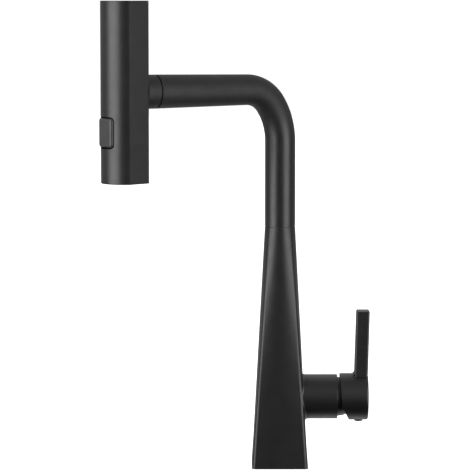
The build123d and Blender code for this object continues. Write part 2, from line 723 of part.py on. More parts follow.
with BuildPart() as spray_chamber:
    with BuildSketch(head_plane(CHAMBER_TOP)):
        Circle(HOUSING_HALF)
    extrude(amount=CHAMBER_PLATE - CHAMBER_TOP)
    extrude(
        head_outline(CHAMBER_PLATE, inset=CHAMBER_INSET), amount=CHAMBER_BOTTOM - CHAMBER_PLATE
    )
    extrude(
        head_outline(CHAMBER_BOTTOM, inset=CHAMBER_INSET + CHAMBER_WALL),
        amount=(CHAMBER_PLATE - CHAMBER_BOTTOM) / 2,
        mode=Mode.SUBTRACT,
    )
    with BuildSketch(head_plane(CHAMBER_TOP)):
        with GridLocations(OUTLET_SPACING, 0, 2, 1):
            Circle(OUTLET_R)
    extrude(amount=CHAMBER_BOTTOM - CHAMBER_TOP, mode=Mode.SUBTRACT)

with BuildPart() as spray_faceplate:
    extrude(head_outline(PLATE_BOTTOM, inset=PLATE_INSET), amount=PLATE_TOP - PLATE_BOTTOM)
    with BuildSketch(head_plane(PLATE_BOTTOM)):
        with Locations((AERATOR_CENTRE, 0)):
            Circle(AERATOR_HOLE_R)
        with Locations((NOZZLE_CENTRE, 0)):
            with PolarLocations(NOZZLE_RING_R, NOZZLE_COUNT):
                Circle(NOZZLE_HOLE_R)
    extrude(amount=PLATE_TOP - PLATE_BOTTOM, mode=Mode.SUBTRACT)

with BuildPart() as spray_nozzles:
    extrude(head_outline(PLATE_TOP + SEAT, inset=MAT_INSET), amount=MAT_TOP - PLATE_TOP)
    with BuildSketch(head_plane(PLATE_TOP + SEAT)):
        with Locations((NOZZLE_CENTRE, 0)):
            with PolarLocations(NOZZLE_RING_R, NOZZLE_COUNT):
                Circle(NOZZLE_R)
    extrude(amount=NOZZLE_TIP_Z - PLATE_TOP)
    with BuildSketch(head_plane(NOZZLE_TIP_Z)):
        with Locations((AERATOR_CENTRE, 0)):
            Circle(AERATOR_HOLE_R)
        with Locations((NOZZLE_CENTRE, 0)):
            with PolarLocations(NOZZLE_RING_R, NOZZLE_COUNT):
                Circle(NOZZLE_BORE_R)
    extrude(amount=CHAMBER_BOTTOM - NOZZLE_TIP_Z, mode=Mode.SUBTRACT)

with BuildPart() as aerator_insert:
    with BuildSketch(head_plane(AERATOR_START, AERATOR_CENTRE)):
        Circle(AERATOR_R)
    extrude(amount=AERATOR_TOP - AERATOR_START)
    with BuildSketch(head_plane(AERATOR_START, AERATOR_CENTRE)):
        Circle(AERATOR_LIP_R)
    extrude(amount=AERATOR_RECESS_TOP - AERATOR_START, mode=Mode.SUBTRACT)
    with BuildSketch(head_plane(AERATOR_START, AERATOR_CENTRE)):
        with GridLocations(AERATOR_PITCH, AERATOR_PITCH, AERATOR_ROWS, AERATOR_ROWS):
            Rectangle(AERATOR_CELL, AERATOR_CELL)
    extrude(amount=AERATOR_TOP - AERATOR_START, mode=Mode.SUBTRACT)

# ---------------------------------------------------------------- water block and cartridge
AXIAL_PORT_R = 3.0
AXIAL_PORTS = ((-9.0, -3.0), (9.0, -3.0), (0.0, 9.0))
BLOCK_R = 17.9
BLOCK_LUG_TOP = VALVE_Z - 10.0
LUG_HALF = 15.5
LUG_DEPTH = 36.0
LUG_END = 19.0
CARTRIDGE_R = 17.4
CAVITY_R = 14.8
CARTRIDGE_START = 24.0
CARTRIDGE_END = 50.0
CARTRIDGE_LIP_T = 2.0
PORT_SEAL_OUT_R = 4.6
PORT_SEAL_IN_R = 3.1
FIXED_DISC_R = 14.3
BASE_START = 25.0
BASE_END = 28.0
FIXED_DISC = (28.05, 31.5)
MOVING_DISC = (31.55, 35.0)
CARRIER_END = 43.8
CARRIER_FLANGE = 38.0
CARRIER_CUP_R = 6.2
CARRIER_CUP_BORE_R = 4.0
CARRIER_CUP_DEPTH = 7.0
MOVING_DISC_R = 10.5
MIXING_LENGTH = 12.0
MIXING_WIDTH = 6.0
MIXING_DEPTH = 1.8
ROTOR_FLANGE = (44.0, 47.9)
ROTOR_NECK_R = 9.5
ROTOR_END = 59.5
ROTOR_SLOT_WIDTH = 8.4
ROTOR_SLOT_HEIGHT = 16.0
ROTOR_SLOT_RISE = 1.0
PIN_R = 1.5
PIN_HALF_LENGTH = 9.1
BALL_R = 3.6
CARTRIDGE_NUT_END = 52.4
CARTRIDGE_NUT_BORE_R = 13.0
NUT_KEY_WIDTH = 4.0
NUT_KEY_SPAN = 34.0
NUT_KEY_DEPTH = 1.0


def axial_ports(x, length, radius):
    """Cut the hot, cold and mixed passages along the valve's axis."""
    with BuildSketch(valve_plane(x)) as ports:
        with Locations(*AXIAL_PORTS):
            Circle(radius)
    extrude(ports.sketch, amount=length, mode=Mode.SUBTRACT)


with BuildPart() as water_block:
    ring(VALVE, BLOCK_BACK + SEAT, BLOCK_FACE, BLOCK_R)
    with BuildSketch(Plane.XY.offset(VALVE_Z - LUG_DEPTH)):
        with Locations(((BLOCK_BACK + SEAT + LUG_END) / 2, 0)):
            Rectangle(LUG_END - BLOCK_BACK - SEAT, 2 * LUG_HALF)
    extrude(amount=BLOCK_LUG_TOP - VALVE_Z + LUG_DEPTH)
    with BuildSketch(Plane.XY.offset(VALVE_Z - LUG_DEPTH)):
        with Locations((PORT_X, -PORT_SPACING), (PORT_X, 0), (PORT_X, PORT_SPACING)):
            Circle(PORT_R)
    extrude(amount=PORT_DEPTH, mode=Mode.SUBTRACT)
    for (across, up) in AXIAL_PORTS:
        drill_y = math.copysign(PORT_SPACING, across) if across else 0.0
        with BuildSketch(Plane.XY.offset(VALVE_Z - LUG_DEPTH)):
            with Locations((PORT_X, drill_y)):
                Circle(AXIAL_PORT_R)
        extrude(amount=LUG_DEPTH + up, mode=Mode.SUBTRACT)
    axial_ports(PORT_X, BLOCK_FACE - PORT_X, AXIAL_PORT_R)

with BuildPart() as cartridge_base_seals:
    for (across, up) in AXIAL_PORTS:
        with BuildSketch(valve_plane(BLOCK_FACE + GAP)):
            with Locations((across, up)):
                Circle(PORT_SEAL_OUT_R)
                Circle(PORT_SEAL_IN_R, mode=Mode.SUBTRACT)
        extrude(amount=BASE_START - BLOCK_FACE - 2 * GAP)

with BuildPart() as cartridge_base:
    ring(VALVE, BASE_START, BASE_END, CAVITY_R - SEAT)
    axial_ports(BASE_START, BASE_END - BASE_START, AXIAL_PORT_R)

with BuildPart() as cartridge_body:
    ring(VALVE, CARTRIDGE_START, CARTRIDGE_END, CARTRIDGE_R)
    ring(VALVE, CARTRIDGE_START, CARTRIDGE_END - CARTRIDGE_LIP_T, CAVITY_R, mode=Mode.SUBTRACT)
    ring(VALVE, CARTRIDGE_START, CARTRIDGE_END, ROTOR_NECK_R + GAP, mode=Mode.SUBTRACT)

with BuildPart() as fixed_ceramic_disc:
    ring(VALVE, *FIXED_DISC, FIXED_DISC_R)
    axial_ports(FIXED_DISC[0], FIXED_DISC[1] - FIXED_DISC[0], AXIAL_PORT_R)

carriage_z = VALVE_Z - DISC_OFFSET
with BuildPart() as moving_ceramic_disc:
    with BuildSketch(valve_plane(MOVING_DISC[0], carriage_z)):
        Circle(MOVING_DISC_R)
    extrude(amount=MOVING_DISC[1] - MOVING_DISC[0])
    with BuildSketch(valve_plane(MOVING_DISC[0], carriage_z)):
        SlotOverall(MIXING_LENGTH, MIXING_WIDTH, rotation=90)
    extrude(amount=MIXING_DEPTH, mode=Mode.SUBTRACT)

with BuildPart() as disc_carrier:
    with BuildSketch(valve_plane(MOVING_DISC[1] + GAP, carriage_z)):
        Circle(MOVING_DISC_R)
    extrude(amount=CARRIER_FLANGE - MOVING_DISC[1] - GAP)
    ring(VALVE, CARRIER_FLANGE, CARRIER_END, CARRIER_CUP_R)
    ring(VALVE, CARRIER_END - CARRIER_CUP_DEPTH, CARRIER_END, CARRIER_CUP_BORE_R, mode=Mode.SUBTRACT)

with BuildPart() as cartridge_rotor:
    ring(VALVE, *ROTOR_FLANGE, CAVITY_R - GAP)
    ring(VALVE, ROTOR_FLANGE[1], ROTOR_END, ROTOR_NECK_R)
    with BuildSketch(valve_plane(ROTOR_FLANGE[0], VALVE_Z + ROTOR_SLOT_RISE)):
        Rectangle(ROTOR_SLOT_WIDTH, ROTOR_SLOT_HEIGHT)
    extrude(amount=ROTOR_END - ROTOR_FLANGE[0], mode=Mode.SUBTRACT)
    with BuildSketch(PIVOT_PLANE):
        Circle(PIN_R + SEAT)
    extrude(amount=2 * ROTOR_NECK_R, both=True, mode=Mode.SUBTRACT)

with BuildPart() as stem_pin:
    with BuildSketch(PIVOT_PLANE):
        Circle(PIN_R)
    extrude(amount=PIN_HALF_LENGTH, both=True)

with BuildPart() as cartridge_nut:
    ring(VALVE, CARTRIDGE_END + GAP, CARTRIDGE_NUT_END, VALVE_BORE_R - SEAT, CARTRIDGE_NUT_BORE_R)
    for turn in (0, 90):
        with BuildSketch(valve_plane(CARTRIDGE_NUT_END).rotated((0, 0, turn))):
            Rectangle(NUT_KEY_WIDTH, NUT_KEY_SPAN)
        extrude(amount=-NUT_KEY_DEPTH, mode=Mode.SUBTRACT)

# Domed shroud between the sleeve and the lever's cap. The lever's pivot is its centre.
DOME_WALL = 1.7
DOME_MOUTH_R = 11.5
SKIRT_START = 52.5
SKIRT_R = 17.9
with BuildPart() as cartridge_cover:
    with BuildSketch(VALVE[0]) as dome_profile:
        with Locations((PIVOT_X, 0)):
            Circle(DOME_R)
            Circle(DOME_R - DOME_WALL, mode=Mode.SUBTRACT)
        with Locations((PIVOT_X + DOME_R / 2, DOME_MOUTH_R + DOME_R / 2)):
            Rectangle(DOME_R, DOME_R, mode=Mode.INTERSECT)
        with BuildLine():
            Polyline(
                (SKIRT_START, DOME_R - DOME_WALL),
                (PIVOT_X + GAP, DOME_R - DOME_WALL),
                (PIVOT_X + GAP, DOME_R),
                (SLEEVE_END + GAP, DOME_R),
                (SLEEVE_END + GAP, SKIRT_R),
                (SKIRT_START, SKIRT_R),
                close=True,
            )
        make_face()
    revolve(dome_profile.sketch, axis=VALVE[1])

# ---------------------------------------------------------------- lever
CAP_EDGE_R = 2.0
CAP_KNEE_CUT = 2.2
CAP_KNEE_DROP = 7.0
CAP_FOOT_CUT = 9.2
BLADE_FOOT = (70.7, 83.3)
BLADE_TIP = (72.8, 85.1)
BLADE_FOOT_Z = VALVE_Z + 12.0
BLADE_EDGE_R = 1.6
BLADE_TIP_R = 1.0
COVE_R = 3.5
COVE_END = 71.1
COVE_ARC = 40.0
SET_SCREW_R = 2.0
SET_SCREW_LENGTH = 7.0
SET_SCREW_KEY_R = 1.15
SET_SCREW_KEY_DEPTH = 2.5
PLUG_R = 3.9
PLUG_PROUD = 1.3
PLUG_TOP = 48.0
PLUG_EDGE_R = 0.5
PLUG_RECESS_TOP = 48.2
STEM_NECK_R = 2.6
STEM_NECK_LENGTH = 5.0
STEM_SOCKET_END = 80.5
cap_mouth_r = math.sqrt(CAP_CAVITY_R**2 - (CAP_START - PIVOT_X) ** 2)
stem_underside = VALVE_Z - STEM_SIDE / 2
plug_bottom = VALVE_Z - CAP_R - PLUG_PROUD


def blade_section(z, span):
    """Flat rounded section across the lever's blade."""
    with BuildSketch(Plane.XY.offset(z)) as section:
        with Locations(((span[0] + span[1]) / 2, 0)):
            RectangleRounded(span[1] - span[0], 2 * BLADE_HALF_WIDTH, BLADE_EDGE_R)
    return section.sketch


def screw_plane(z, up=-1):
    """Level plane on the set screw's line, facing down unless told to face up."""
    return Plane((SCREW_X, 0, z), x_dir=(1, 0, 0), z_dir=(0, 0, up))


with BuildPart() as lever_handle:
    # The cap is hollowed by a sphere about the pivot, so it swings over the domed shroud.
    with BuildSketch(VALVE[0]):
        with BuildLine():
            CenterArc(
                (PIVOT_X, 0),
                CAP_CAVITY_R,
                0,
                math.degrees(math.atan2(cap_mouth_r, CAP_START - PIVOT_X)),
            )
            Polyline(
                (PIVOT_X + CAP_CAVITY_R, 0),
                (CAP_END, 0),
                (CAP_END, CAP_R),
                (CAP_START, CAP_R),
                (CAP_START, cap_mouth_r),
            )
        make_face()
    revolve(axis=VALVE[1])
    fillet(lever_handle.edges().group_by(Axis.X)[-1], radius=CAP_EDGE_R)
    loft([blade_section(BLADE_FOOT_Z, BLADE_FOOT), blade_section(BLADE_TIP_Z, BLADE_TIP)], ruled=True)
    fillet(lever_handle.faces().sort_by(Axis.Z)[-1].edges(), radius=BLADE_TIP_R)
    # Cove between the blade's inner face and the cap.
    with BuildSketch(VALVE[0].rotated((-COVE_ARC / 2, 0, 0))):
        with BuildLine():
            CenterArc((COVE_END - COVE_R, CAP_R + COVE_R), COVE_R, -90, 90)
            Polyline(
                (COVE_END, CAP_R + COVE_R),
                (COVE_END, CAP_R - MARGIN),
                (COVE_END - COVE_R, CAP_R - MARGIN),
                (COVE_END - COVE_R, CAP_R),
            )
        make_face()
    revolve(axis=VALVE[1], revolution_arc=COVE_ARC)
    # The cap's inner end is cut back in two slopes so that it clears the sleeve at full tilt.
    with BuildSketch(VALVE[0]):
        with BuildLine():
            Polyline(
                (CAP_START - MARGIN, CAP_R + MARGIN),
                (CAP_START, CAP_R + MARGIN),
                (CAP_START + CAP_KNEE_CUT, -CAP_KNEE_DROP),
                (CAP_START + CAP_FOOT_CUT, -CAP_R),
                (CAP_START + CAP_FOOT_CUT, -CAP_R - MARGIN),
                (CAP_START - MARGIN, -CAP_R - MARGIN),
                close=True,
            )
        make_face()
    extrude(amount=2 * CAP_R, both=True, mode=Mode.SUBTRACT)
    with BuildSketch(valve_plane(PIVOT_X + STEM_SIDE)):
        Rectangle(STEM_SIDE + 2 * SEAT, STEM_SIDE + 2 * SEAT)
    extrude(amount=STEM_SOCKET_END - PIVOT_X - STEM_SIDE, mode=Mode.SUBTRACT)
    with BuildSketch(screw_plane(VALVE_Z)):
        Circle(SET_SCREW_R + SEAT)
    extrude(amount=2 * CAP_R, mode=Mode.SUBTRACT)
    with BuildSketch(screw_plane(PLUG_RECESS_TOP)):
        Circle(PLUG_R + SEAT)
    extrude(amount=CAP_R, mode=Mode.SUBTRACT)

stem_start = PIVOT_X - STEM_ARM
with BuildPart() as stem:
    with BuildSketch(valve_plane(stem_start + STEM_NECK_LENGTH)):
        Rectangle(STEM_SIDE, STEM_SIDE)
    extrude(amount=STEM_END - stem_start - STEM_NECK_LENGTH)
    ring(VALVE, stem_start, stem_start + STEM_NECK_LENGTH, STEM_NECK_R)
    with Locations((stem_start, 0, VALVE_Z)):
        Sphere(BALL_R)
    with BuildSketch(PIVOT_PLANE):
        Circle(PIN_R + GAP)
    extrude(amount=STEM_SIDE, both=True, mode=Mode.SUBTRACT)

with BuildPart() as lever_set_screw:
    with BuildSketch(screw_plane(stem_underside - SEAT)):
        Circle(SET_SCREW_R)
    extrude(amount=SET_SCREW_LENGTH)
    with BuildSketch(screw_plane(stem_underside - SEAT - SET_SCREW_LENGTH, up=1)):
        RegularPolygon(SET_SCREW_KEY_R, HEX_SIDES)
    extrude(amount=SET_SCREW_KEY_DEPTH, mode=Mode.SUBTRACT)

with BuildPart() as lever_screw_plug:
    with BuildSketch(screw_plane(plug_bottom, up=1)):
        Circle(PLUG_R)
    extrude(amount=PLUG_TOP - plug_bottom)
    fillet(lever_screw_plug.edges().group_by(Axis.Z)[0], radius=PLUG_EDGE_R)

# ---------------------------------------------------------------- write one file for each piece
PIECES = {
    "body_shell": body_shell,
    "base_gasket": base_gasket,
    "swivel_limit_screw": swivel_limit_screw,
    "mounting_shank": mounting_shank,
    "deck_washer_rubber": deck_washer_rubber,
    "deck_washer_steel": deck_washer_steel,
    "mounting_nut": mounting_nut,
    "swivel_bush_lower": swivel_bush_lower,
    "swivel_bush_upper": swivel_bush_upper,
    "swivel_thrust_washer": swivel_thrust_washer,
    "spout_insert": spout_insert,
    "spout_retaining_ring": spout_retaining_ring,
    "spout_o_rings": spout_o_rings,
    "spout_tube": spout_tube,
    "dock_bush": dock_bush,
    "dock_magnet_ring": dock_magnet_ring,
    "hose_riser": hose_riser,
    "spray_hose": spray_hose,
    "hose_connector": hose_connector,
    "head_neck": head_neck,
    "neck_steel_ring": neck_steel_ring,
    "head_front_shell": head_front_shell,
    "head_rear_shell": head_rear_shell,
    "head_top_cap": head_top_cap,
    "mode_button": mode_button,
    "button_bezel": button_bezel,
    "diverter_spool": diverter_spool,
    "diverter_housing": diverter_housing,
    "button_spring": button_spring,
    "head_waterway": head_waterway,
    "head_screws": head_screws,
    "check_valve": check_valve,
    "spray_chamber": spray_chamber,
    "spray_faceplate": spray_faceplate,
    "spray_nozzles": spray_nozzles,
    "aerator_insert": aerator_insert,
    "water_block": water_block,
    "cartridge_base_seals": cartridge_base_seals,
    "cartridge_base": cartridge_base,
    "cartridge_body": cartridge_body,
    "fixed_ceramic_disc": fixed_ceramic_disc,
    "moving_ceramic_disc": moving_ceramic_disc,
    "disc_carrier": disc_carrier,
    "cartridge_rotor": cartridge_rotor,
    "stem_pin": stem_pin,
    "cartridge_nut": cartridge_nut,
    "cartridge_cover": cartridge_cover,
    "lever_handle": lever_handle,
    "stem": stem,
    "lever_set_screw": lever_set_screw,
    "lever_screw_plug": lever_screw_plug,
}

os.makedirs("parts", exist_ok=True)
for piece_name, piece in PIECES.items():
    piece.part.label = piece_name
    export_step(piece.part, f"parts/{piece_name}.step")
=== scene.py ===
"""Looks for a matt black kitchen faucet with a pull-out spray head."""

import json
import math
import bpy
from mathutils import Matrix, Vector


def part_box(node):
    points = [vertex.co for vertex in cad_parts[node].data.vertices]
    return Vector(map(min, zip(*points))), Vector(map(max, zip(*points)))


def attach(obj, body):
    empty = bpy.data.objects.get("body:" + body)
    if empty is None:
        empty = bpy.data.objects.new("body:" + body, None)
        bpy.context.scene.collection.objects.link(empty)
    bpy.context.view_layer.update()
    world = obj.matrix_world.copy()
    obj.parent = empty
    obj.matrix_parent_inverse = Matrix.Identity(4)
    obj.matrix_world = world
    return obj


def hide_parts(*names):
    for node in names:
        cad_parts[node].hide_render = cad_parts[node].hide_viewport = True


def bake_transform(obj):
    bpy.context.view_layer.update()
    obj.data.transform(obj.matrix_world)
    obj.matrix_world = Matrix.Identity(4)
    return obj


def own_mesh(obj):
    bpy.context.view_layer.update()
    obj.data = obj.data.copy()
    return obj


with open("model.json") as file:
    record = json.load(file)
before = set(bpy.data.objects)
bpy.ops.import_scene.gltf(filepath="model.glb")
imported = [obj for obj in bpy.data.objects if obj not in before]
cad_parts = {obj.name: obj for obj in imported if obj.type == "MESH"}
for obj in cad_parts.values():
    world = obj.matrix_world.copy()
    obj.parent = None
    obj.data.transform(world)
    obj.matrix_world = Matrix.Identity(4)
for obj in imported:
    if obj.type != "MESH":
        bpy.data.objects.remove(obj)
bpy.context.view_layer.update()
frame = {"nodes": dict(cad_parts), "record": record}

nodes = frame["nodes"]
joints = {joint["name"]: joint for joint in frame["record"]["behaviour"]["joints"]}

# ---------------------------------------------------------------- camera
SENSOR_MM = 36.0
LENS_MM = 183.83
CAMERA_AT = Vector((-0.04615, -2.26174, 0.44044))
CAMERA_YAW = math.radians(0.09)
CAMERA_PITCH = math.radians(5.57)

camera_data = bpy.data.cameras.new("photo_camera")
camera_data.sensor_width = SENSOR_MM
camera_data.lens = LENS_MM
camera_data.clip_end = 30.0
camera = bpy.data.objects.new("photo_camera", camera_data)
camera.location = CAMERA_AT
camera.rotation_euler = (math.pi / 2 - CAMERA_PITCH, 0.0, -CAMERA_YAW)
bpy.context.collection.objects.link(camera)
bpy.context.scene.camera = camera
bpy.context.scene.view_settings.view_transform = "Standard"

# ---------------------------------------------------------------- fine detail
COAT_DARK = (0.0058, 0.0059, 0.0063)
COAT_LIGHT = (0.0078, 0.0079, 0.0084)
COAT_ROUGH = (0.36, 0.42)
# Height where the spout's coat starts to dull, where it is fully dull, and the roughness from and to.
SPOUT_DULLING = (0.312, 0.345, 0.0, 0.24)
BRASS_DARK = (0.58, 0.42, 0.19)
BRASS_LIGHT = (0.72, 0.54, 0.27)
METAL_ROUGH = (0.22, 0.36)
# Drawing and turning marks are stretched this many times finer along Z.
MARK_STRETCH = (1, 1, 6)
THREAD_PITCH = 0.0015
THREAD_DEPTH = 0.0006
HOSE_RINGS = 160
HOSE_SIDES = 48
HOSE_STRANDS = 12
HOSE_PICKS = 60
BRAID_DEPTH = 0.0004

# ---------------------------------------------------------------- studio
FLOOR_Z = -0.0005
FLOOR_SIZE = 14.0
BACKDROP_LEVEL = 1.05
WHITE = (1.0, 1.0, 1.0, 1.0)


def link(obj):
    bpy.context.collection.objects.link(obj)
    return obj


def softbox(name, azimuth, height, distance, size, power, aim=(0.0, 0.0, 0.22)):
    """A rectangular studio light. Azimuth is in degrees from the front, positive to the right."""
    turn = math.radians(azimuth)
    light = bpy.data.lights.new(name, "AREA")
    light.shape = "RECTANGLE"
    light.size, light.size_y = size
    light.energy = power
    lamp = link(bpy.data.objects.new(name, light))
    lamp.location = (distance * math.sin(turn), -distance * math.cos(turn), height)
    lamp.rotation_euler = (Vector(aim) - lamp.location).to_track_quat("-Z", "Y").to_euler()
    lamp.visible_camera = False
    return lamp


softbox("left_softbox", -56.0, 0.36, 0.95, (0.72, 1.15), 12.8, aim=(0.0, 0.0, 0.25))
softbox("right_softbox", 49.0, 0.26, 0.95, (0.68, 1.05), 9.2, aim=(0.0, 0.0, 0.2))

world = bpy.data.worlds.new("studio")
bpy.context.scene.world = world
world.use_nodes = True
tree = world.node_tree
tree.nodes.clear()


def world_ramp(value, low, high, to_low, to_high):
    """Smooth step of a direction's component between two levels."""
    node = tree.nodes.new("ShaderNodeMapRange")
    node.interpolation_type = "SMOOTHSTEP"
    for key, number in (("From Min", low), ("From Max", high), ("To Min", to_low), ("To Max", to_high)):
        node.inputs[key].default_value = number
    tree.links.new(value, node.inputs["Value"])
    return node.outputs["Result"]


def world_math(operation, a, b):
    node = tree.nodes.new("ShaderNodeMath")
    node.operation = operation
    tree.links.new(a, node.inputs[0])
    tree.links.new(b, node.inputs[1])
    return node.outputs[0]


# The room is dark in front and below, softly lit from above, and pale behind.
output = tree.nodes.new("ShaderNodeOutputWorld")
shown = tree.nodes.new("ShaderNodeBackground")
lighting = tree.nodes.new("ShaderNodeBackground")
choose = tree.nodes.new("ShaderNodeMixShader")
path = tree.nodes.new("ShaderNodeLightPath")
split = tree.nodes.new("ShaderNodeSeparateXYZ")
tree.links.new(tree.nodes.new("ShaderNodeTexCoord").outputs["Generated"], split.inputs["Vector"])
towards_back = split.outputs["Y"]
towards_top = split.outputs["Z"]
front_level = world_ramp(towards_top, -0.5, 0.8, 0.03, 0.36)
behind = world_ramp(towards_back, -0.1, 0.5, 0.0, 0.26)
rear_half = world_ramp(towards_back, -0.2, 0.4, 0.0, 1.0)
above_behind = world_math("MULTIPLY", world_ramp(towards_top, 0.1, 0.9, 0.0, 0.3), rear_half)
below_behind = world_math("MULTIPLY", world_ramp(towards_top, -0.9, -0.1, 0.75, 0.0), rear_half)
level = front_level
for share in (behind, above_behind, below_behind):
    level = world_math("ADD", level, share)
shown.inputs["Color"].default_value = WHITE
shown.inputs["Strength"].default_value = BACKDROP_LEVEL
lighting.inputs["Color"].default_value = WHITE
tree.links.new(level, lighting.inputs["Strength"])
tree.links.new(path.outputs["Is Camera Ray"], choose.inputs["Fac"])
tree.links.new(lighting.outputs["Background"], choose.inputs[1])
tree.links.new(shown.outputs["Background"], choose.inputs[2])
tree.links.new(choose.outputs["Shader"], output.inputs["Surface"])

# ---------------------------------------------------------------- material kit


class Graph:
    """Small helper around one material's node tree."""

    def __init__(self, name):
        self.material = bpy.data.materials.new(name)
        self.material.use_nodes = True
        self.tree = self.material.node_tree
        self.shader = self.tree.nodes["Principled BSDF"]
        self.coords = self.tree.nodes.new("ShaderNodeTexCoord").outputs["Object"]

    def set(self, **sockets):
        for key, value in sockets.items():
            self.shader.inputs[key.replace("_", " ")].default_value = value

    def noise(self, scale, detail=2.0, rough=0.5, vector=None):
        node = self.tree.nodes.new("ShaderNodeTexNoise")
        node.inputs["Scale"].default_value = scale
        node.inputs["Detail"].default_value = detail
        node.inputs["Roughness"].default_value = rough
        self.tree.links.new(vector or self.coords, node.inputs["Vector"])
        return node.outputs["Fac"]

    def ramp(self, value, low, high, colour_low, colour_high):
        node = self.tree.nodes.new("ShaderNodeMapRange")
        node.inputs["From Min"].default_value = low
        node.inputs["From Max"].default_value = high
        self.tree.links.new(value, node.inputs["Value"])
        mix = self.tree.nodes.new("ShaderNodeMix")
        mix.data_type = "RGBA"
        self.tree.links.new(node.outputs["Result"], mix.inputs["Factor"])
        mix.inputs[6].default_value = (*colour_low, 1.0)
        mix.inputs[7].default_value = (*colour_high, 1.0)
        return mix.outputs[2]

    def map(self, value, low, high, to_low, to_high):
        node = self.tree.nodes.new("ShaderNodeMapRange")
        for key, number in (("From Min", low), ("From Max", high), ("To Min", to_low), ("To Max", to_high)):
            node.inputs[key].default_value = number
        self.tree.links.new(value, node.inputs["Value"])
        return node.outputs["Result"]

    def math(self, operation, a, b):
        node = self.tree.nodes.new("ShaderNodeMath")
        node.operation = operation
        for socket, value in zip(node.inputs, (a, b)):
            if isinstance(value, (int, float)):
                socket.default_value = value
            else:
                self.tree.links.new(value, socket)
        return node.outputs[0]

    def split(self, vector=None):
        """The X, Y and Z of a vector, by default the place on the object."""
        node = self.tree.nodes.new("ShaderNodeSeparateXYZ")
        self.tree.links.new(vector or self.coords, node.inputs["Vector"])
        return node.outputs

    def unwrapped(self):
        return self.tree.nodes.new("ShaderNodeTexCoord").outputs["UV"]

    def stretch(self, scale):
        node = self.tree.nodes.new("ShaderNodeMapping")
        node.inputs["Scale"].default_value = scale
        self.tree.links.new(self.coords, node.inputs["Vector"])
        return node.outputs["Vector"]

    def bump(self, height, distance, strength=1.0):
        node = self.tree.nodes.new("ShaderNodeBump")
        node.inputs["Distance"].default_value = distance
        node.inputs["Strength"].default_value = strength
        self.tree.links.new(height, node.inputs["Height"])
        self.tree.links.new(node.outputs["Normal"], self.shader.inputs["Normal"])

    def feed(self, socket, value):
        self.tree.links.new(value, self.shader.inputs[socket])


def powder_coat(name, dark, light, rough_low, rough_high, grain=0.000022, matt_above=None):
    """Matt black baked coating: a fine orange-peel skin over metal. It can be duller above a height."""
    g = Graph(name)
    cloud = g.noise(38.0, 3.0)
    skin = g.noise(1500.0, 2.0, 0.6)
    swell = g.noise(420.0, 1.0)
    g.feed("Base Color", g.ramp(cloud, 0.3, 0.7, dark, light))
    rough = g.map(g.noise(90.0, 4.0), 0.3, 0.7, rough_low, rough_high)
    if matt_above:
        rough = g.math("ADD", rough, g.map(g.split()["Z"], *matt_above))
    g.feed("Roughness", rough)
    g.bump(g.math("ADD", g.math("MULTIPLY", skin, 0.6), g.math("MULTIPLY", swell, 0.4)), grain)
    g.set(IOR=1.5)
    return g.material


def moulded(name, dark, light, rough_low, rough_high, grain=0.00003, scale=900.0):
    """Moulded plastic or rubber with a fine spark-eroded grain."""
    g = Graph(name)
    g.feed("Base Color", g.ramp(g.noise(60.0, 3.0), 0.3, 0.7, dark, light))
    g.feed("Roughness", g.map(g.noise(140.0, 3.0), 0.3, 0.7, rough_low, rough_high))
    g.bump(g.noise(scale, 3.0, 0.7), grain)
    return g.material


def machined(name, dark, light, rough_low, rough_high, axis_scale, grain=0.00001):
    """Turned or drawn metal: fine lines that run round or along the piece."""
    g = Graph(name)
    lines = g.noise(900.0, 2.0, 0.6, g.stretch(axis_scale))
    g.feed("Base Color", g.ramp(g.noise(70.0, 4.0), 0.3, 0.7, dark, light))
    g.feed("Roughness", g.map(lines, 0.3, 0.7, rough_low, rough_high))
    g.bump(lines, grain)
    g.set(Metallic=1.0)
    return g.material


def threaded(name, dark, light, pitch, depth, below):
    """Turned metal with a helical thread about the Z axis, cut below a height."""
    g = Graph(name)
    place = g.split()
    turn = g.math("DIVIDE", g.math("ARCTAN2", place["Y"], place["X"]), 2 * math.pi)
    climb = g.math("SUBTRACT", g.math("DIVIDE", place["Z"], pitch), turn)
    ridge = g.math("PINGPONG", climb, 0.5)
    cut = g.map(place["Z"], below, below + pitch, 2.0, 0.0)
    g.feed("Base Color", g.ramp(g.noise(70.0, 4.0), 0.3, 0.7, dark, light))
    g.feed("Roughness", g.map(g.noise(300.0, 3.0), 0.3, 0.7, 0.22, 0.36))
    g.bump(g.math("MULTIPLY", ridge, cut), depth)
    g.set(Metallic=1.0)
    return g.material


def braided(name, dark, light, strands, picks):
    """Woven nylon sleeve: two sets of strands that cross round the hose."""
    g = Graph(name)
    place = g.split(g.unwrapped())
    around = g.math("MULTIPLY", place["X"], strands * 2 * math.pi)
    along = g.math("MULTIPLY", place["Y"], picks * 2 * math.pi)
    right = g.math("SINE", g.math("ADD", around, along), 0.0)
    left = g.math("SINE", g.math("SUBTRACT", around, along), 0.0)
    weave = g.map(g.math("MAXIMUM", right, left), -0.4, 1.0, 0.0, 1.0)
    g.feed("Base Color", g.ramp(weave, 0.0, 1.0, dark, light))
    g.feed("Roughness", g.map(g.noise(400.0, 3.0), 0.3, 0.7, 0.5, 0.7))
    g.bump(weave, BRAID_DEPTH)
    return g.material



